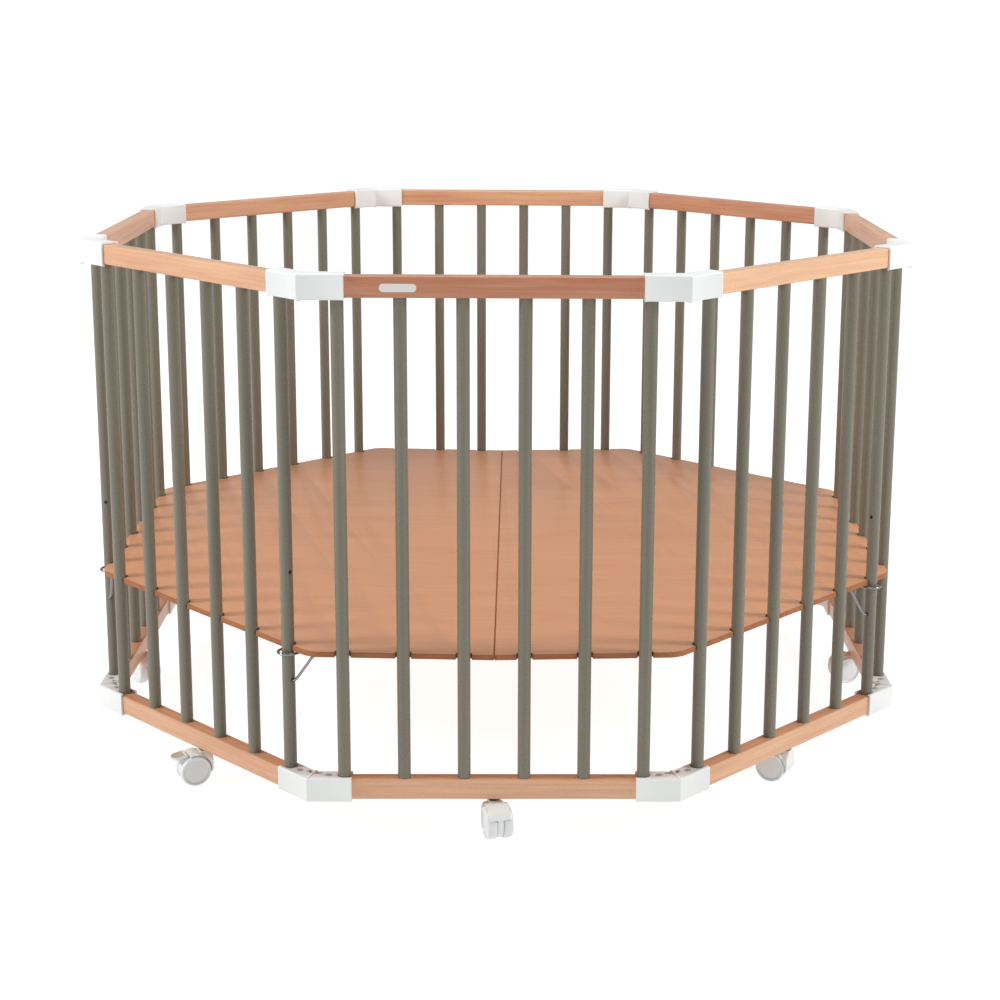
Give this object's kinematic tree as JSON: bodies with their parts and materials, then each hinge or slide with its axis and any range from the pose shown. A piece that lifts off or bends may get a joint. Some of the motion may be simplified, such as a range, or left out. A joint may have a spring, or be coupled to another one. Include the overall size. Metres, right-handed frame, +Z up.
{
  "type": "playpen",
  "caption": "Eight-sided wooden playpen with barred sides, moulded corner connectors, a height-adjustable two-part floor and swivelling casters.",
  "frame": {"origin": "on the ground under the middle of the pen", "axes": "+Z up; -Y towards the front panel, whose face is square to it; +X to the right seen from the front; the floor's seam runs along Y"},
  "size_m": [1.2568, 1.3124, 0.787],
  "materials": {
    "beech": "varnished reddish beech rails with grey-green satin bars",
    "floor_board": "varnished plywood, fine straight grain",
    "connector_plastic": "satin white moulded plastic",
    "caster_plastic": "semi-gloss white moulded plastic",
    "wheel_plastic": "semi-gloss cool white hard plastic",
    "lever_plastic": "satin light grey moulded plastic",
    "chrome_wire": "bright plated round wire",
    "steel_plate": "zinc-plated sheet"
  },
  "bodies": {
    "frame": {"side_panel_front": "beech", "side_panel_front_right": "beech", "side_panel_right": "beech", "side_panel_back_right": "beech", "side_panel_back": "beech", "side_panel_back_left": "beech", "side_panel_left": "beech", "side_panel_front_left": "beech", "bottom_connector_front_to_front_right": "connector_plastic", "top_connector_front_to_front_right": "connector_plastic", "bottom_connector_front_right_to_right": "connector_plastic", "top_connector_front_right_to_right": "connector_plastic", "bottom_connector_right_to_back_right": "connector_plastic", "top_connector_right_to_back_right": "connector_plastic", "bottom_connector_back_right_to_back": "connector_plastic", "top_connector_back_right_to_back": "connector_plastic", "bottom_connector_back_to_back_left": "connector_plastic", "top_connector_back_to_back_left": "connector_plastic", "bottom_connector_back_left_to_left": "connector_plastic", "top_connector_back_left_to_left": "connector_plastic", "bottom_connector_left_to_front_left": "connector_plastic", "top_connector_left_to_front_left": "connector_plastic", "bottom_connector_front_left_to_front": "connector_plastic", "top_connector_front_left_to_front": "connector_plastic"},
    "floor": {"floor_half_right": "floor_board", "floor_half_left": "floor_board", "floor_seam_plate_front": "steel_plate", "floor_seam_plate_back": "steel_plate", "floor_loop_front_right": "chrome_wire", "floor_loop_right": "chrome_wire", "floor_loop_back_right": "chrome_wire", "floor_loop_back_left": "chrome_wire", "floor_loop_left": "chrome_wire", "floor_loop_front_left": "chrome_wire"},
    "prop_front_right": {"floor_prop_front_right": "chrome_wire"},
    "prop_right": {"floor_prop_right": "chrome_wire"},
    "prop_back_right": {"floor_prop_back_right": "chrome_wire"},
    "prop_back_left": {"floor_prop_back_left": "chrome_wire"},
    "prop_left": {"floor_prop_left": "chrome_wire"},
    "prop_front_left": {"floor_prop_front_left": "chrome_wire"},
    "caster_front": {"caster_hood_front": "caster_plastic"},
    "wheels_front": {"caster_wheels_front": "wheel_plastic"},
    "caster_front_right": {"caster_hood_front_right": "caster_plastic"},
    "wheels_front_right": {"caster_wheels_front_right": "wheel_plastic"},
    "brake_front_right": {"brake_lever_front_right": "lever_plastic"},
    "caster_right": {"caster_hood_right": "caster_plastic"},
    "wheels_right": {"caster_wheels_right": "wheel_plastic"},
    "caster_back_right": {"caster_hood_back_right": "caster_plastic"},
    "wheels_back_right": {"caster_wheels_back_right": "wheel_plastic"},
    "brake_back_right": {"brake_lever_back_right": "lever_plastic"},
    "caster_back": {"caster_hood_back": "caster_plastic"},
    "wheels_back": {"caster_wheels_back": "wheel_plastic"},
    "caster_back_left": {"caster_hood_back_left": "caster_plastic"},
    "wheels_back_left": {"caster_wheels_back_left": "wheel_plastic"},
    "brake_back_left": {"brake_lever_back_left": "lever_plastic"},
    "caster_left": {"caster_hood_left": "caster_plastic"},
    "wheels_left": {"caster_wheels_left": "wheel_plastic"},
    "caster_front_left": {"caster_hood_front_left": "caster_plastic"},
    "wheels_front_left": {"caster_wheels_front_left": "wheel_plastic"},
    "brake_front_left": {"brake_lever_front_left": "lever_plastic"}
  },
  "joints": [
    {"name": "floor_height", "type": "slide", "parent": "frame", "child": "floor", "axis": [0, 0, 1], "range_m": [0, 0.156]},
    {"name": "prop_hinge_front_right", "type": "hinge", "parent": "floor", "child": "prop_front_right", "pos_m": [0.54341, -0.30653, 0.25841], "axis": [-0.7071, 0.7071, 0], "range_deg": [0, 60]},
    {"name": "prop_hinge_right", "type": "hinge", "parent": "floor", "child": "prop_right", "pos_m": [0.601, 0.2475, 0.25898], "axis": [1, 0, 0], "range_deg": [0, 60]},
    {"name": "prop_hinge_back_right", "type": "hinge", "parent": "floor", "child": "prop_back_right", "pos_m": [0.24996, 0.59998, 0.25329], "axis": [0.7071, 0.7071, 0], "range_deg": [0, 60]},
    {"name": "prop_hinge_back_left", "type": "hinge", "parent": "floor", "child": "prop_back_left", "pos_m": [-0.54341, 0.30653, 0.25841], "axis": [0.7071, -0.7071, 0], "range_deg": [0, 60]},
    {"name": "prop_hinge_left", "type": "hinge", "parent": "floor", "child": "prop_left", "pos_m": [-0.601, -0.2475, 0.25898], "axis": [-1, 0, 0], "range_deg": [0, 60]},
    {"name": "prop_hinge_front_left", "type": "hinge", "parent": "floor", "child": "prop_front_left", "pos_m": [-0.24996, -0.59998, 0.25329], "axis": [-0.7071, -0.7071, 0], "range_deg": [0, 60]},
    {"name": "swivel_front", "type": "hinge", "parent": "frame", "child": "caster_front", "pos_m": [0, -0.612, 0.05], "axis": [0, 0, 1], "continuous": true},
    {"name": "axle_front", "type": "hinge", "parent": "caster_front", "child": "wheels_front", "pos_m": [0.00466, -0.62939, 0.023], "axis": [0.9659, 0.2588, 0], "continuous": true},
    {"name": "swivel_front_right", "type": "hinge", "parent": "frame", "child": "caster_front_right", "pos_m": [0.43275, -0.43275, 0.05], "axis": [0, 0, 1], "continuous": true},
    {"name": "axle_front_right", "type": "hinge", "parent": "caster_front_right", "child": "wheels_front_right", "pos_m": [0.41701, -0.42402, 0.023], "axis": [-0.4848, -0.8746, 0], "continuous": true},
    {"name": "brake_pedal_front_right", "type": "hinge", "parent": "caster_front_right", "child": "brake_front_right", "pos_m": [0.40592, -0.41788, 0.04684], "axis": [-0.4848, -0.8746, 0], "range_deg": [0, 12]},
    {"name": "swivel_right", "type": "hinge", "parent": "frame", "child": "caster_right", "pos_m": [0.612, 0, 0.05], "axis": [0, 0, 1], "continuous": true},
    {"name": "axle_right", "type": "hinge", "parent": "caster_right", "child": "wheels_right", "pos_m": [0.5947, -0.00496, 0.023], "axis": [0.2756, -0.9613, 0], "continuous": true},
    {"name": "swivel_back_right", "type": "hinge", "parent": "frame", "child": "caster_back_right", "pos_m": [0.43275, 0.43275, 0.05], "axis": [0, 0, 1], "continuous": true},
    {"name": "axle_back_right", "type": "hinge", "parent": "caster_back_right", "child": "wheels_back_right", "pos_m": [0.44865, 0.4412, 0.023], "axis": [-0.4695, 0.8829, 0], "continuous": true},
    {"name": "brake_pedal_back_right", "type": "hinge", "parent": "caster_back_right", "child": "brake_back_right", "pos_m": [0.45984, 0.44715, 0.04684], "axis": [-0.4695, 0.8829, 0], "range_deg": [0, 12]},
    {"name": "swivel_back", "type": "hinge", "parent": "frame", "child": "caster_back", "pos_m": [0, 0.612, 0.05], "axis": [0, 0, 1], "continuous": true},
    {"name": "axle_back", "type": "hinge", "parent": "caster_back", "child": "wheels_back", "pos_m": [-0.00466, 0.62939, 0.023], "axis": [-0.9659, -0.2588, 0], "continuous": true},
    {"name": "swivel_back_left", "type": "hinge", "parent": "frame", "child": "caster_back_left", "pos_m": [-0.43275, 0.43275, 0.05], "axis": [0, 0, 1], "continuous": true},
    {"name": "axle_back_left", "type": "hinge", "parent": "caster_back_left", "child": "wheels_back_left", "pos_m": [-0.4412, 0.44865, 0.023], "axis": [-0.8829, -0.4695, 0], "continuous": true},
    {"name": "brake_pedal_back_left", "type": "hinge", "parent": "caster_back_left", "child": "brake_back_left", "pos_m": [-0.44715, 0.45984, 0.04684], "axis": [-0.8829, -0.4695, 0], "range_deg": [0, 12]},
    {"name": "swivel_left", "type": "hinge", "parent": "frame", "child": "caster_left", "pos_m": [-0.612, 0, 0.05], "axis": [0, 0, 1], "continuous": true},
    {"name": "axle_left", "type": "hinge", "parent": "caster_left", "child": "wheels_left", "pos_m": [-0.60247, -0.01527, 0.023], "axis": [0.848, 0.5299, 0], "continuous": true},
    {"name": "swivel_front_left", "type": "hinge", "parent": "frame", "child": "caster_front_left", "pos_m": [-0.43275, -0.43275, 0.05], "axis": [0, 0, 1], "continuous": true},
    {"name": "axle_front_left", "type": "hinge", "parent": "caster_front_left", "child": "wheels_front_left", "pos_m": [-0.44879, -0.44092, 0.023], "axis": [0.454, -0.891, 0], "continuous": true},
    {"name": "brake_pedal_front_left", "type": "hinge", "parent": "caster_front_left", "child": "brake_front_left", "pos_m": [-0.46008, -0.44668, 0.04684], "axis": [0.454, -0.891, 0], "range_deg": [0, 12]}
  ]
}
